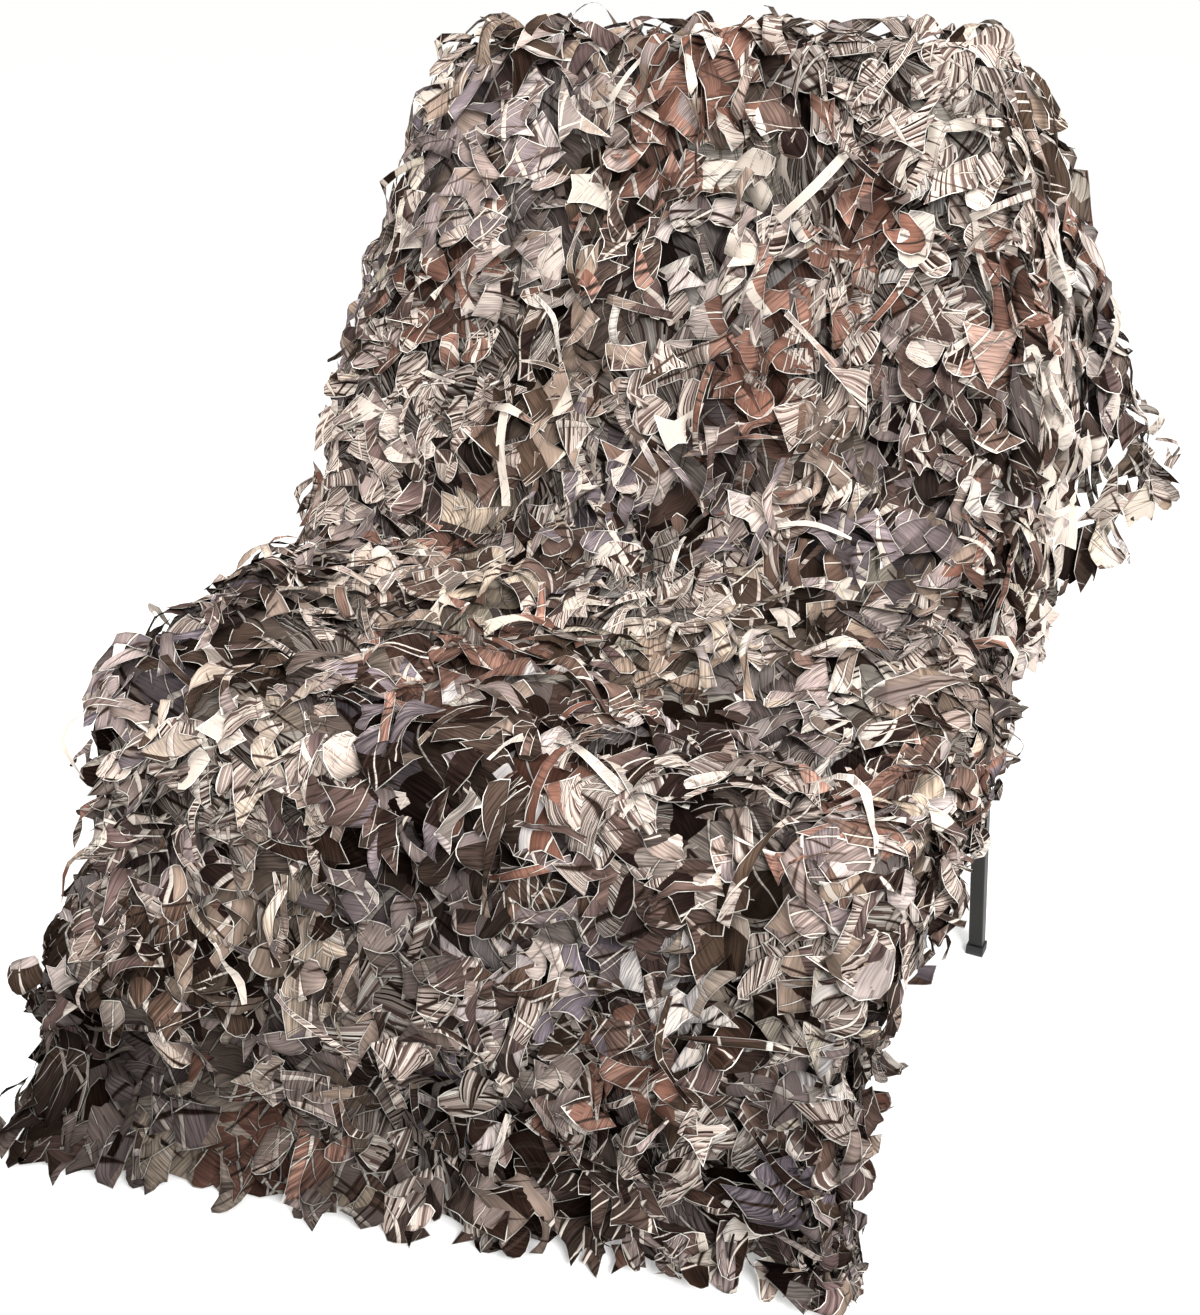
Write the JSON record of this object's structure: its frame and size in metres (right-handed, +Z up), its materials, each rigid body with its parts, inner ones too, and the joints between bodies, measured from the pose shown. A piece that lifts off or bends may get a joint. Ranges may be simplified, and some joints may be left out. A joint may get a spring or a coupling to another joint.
{
  "type": "camouflage net on a chair",
  "caption": "Leaf-cut camouflage net draped over an armless chair, from behind its back over the seat and down to the floor in front.",
  "frame": {"origin": "on the floor, under the middle of the whole part's box", "axes": "+Z up, -Y towards the front of the chair, +X to the right of someone who looks at its front"},
  "size_m": [1.0396, 0.7974, 1.0097],
  "materials": {
    "net_cloth": "matte printed polyester, cut into leaf strips",
    "frame_steel": "black powder coat, satin",
    "chair_board": "dark stained board, matte",
    "foot_plastic": "moulded, matte"
  },
  "bodies": {
    "root": {"net": "net_cloth", "front_leg_left": "frame_steel", "rear_post_left": "frame_steel", "side_rail_left": "frame_steel", "foot_cap_front_left": "foot_plastic", "foot_cap_rear_left": "foot_plastic", "front_leg_right": "frame_steel", "rear_post_right": "frame_steel", "side_rail_right": "frame_steel", "foot_cap_front_right": "foot_plastic", "foot_cap_rear_right": "foot_plastic", "front_rail": "frame_steel", "rear_rail": "frame_steel", "top_rail": "frame_steel", "seat_board": "chair_board", "back_board": "chair_board"}
  },
  "joints": []
}
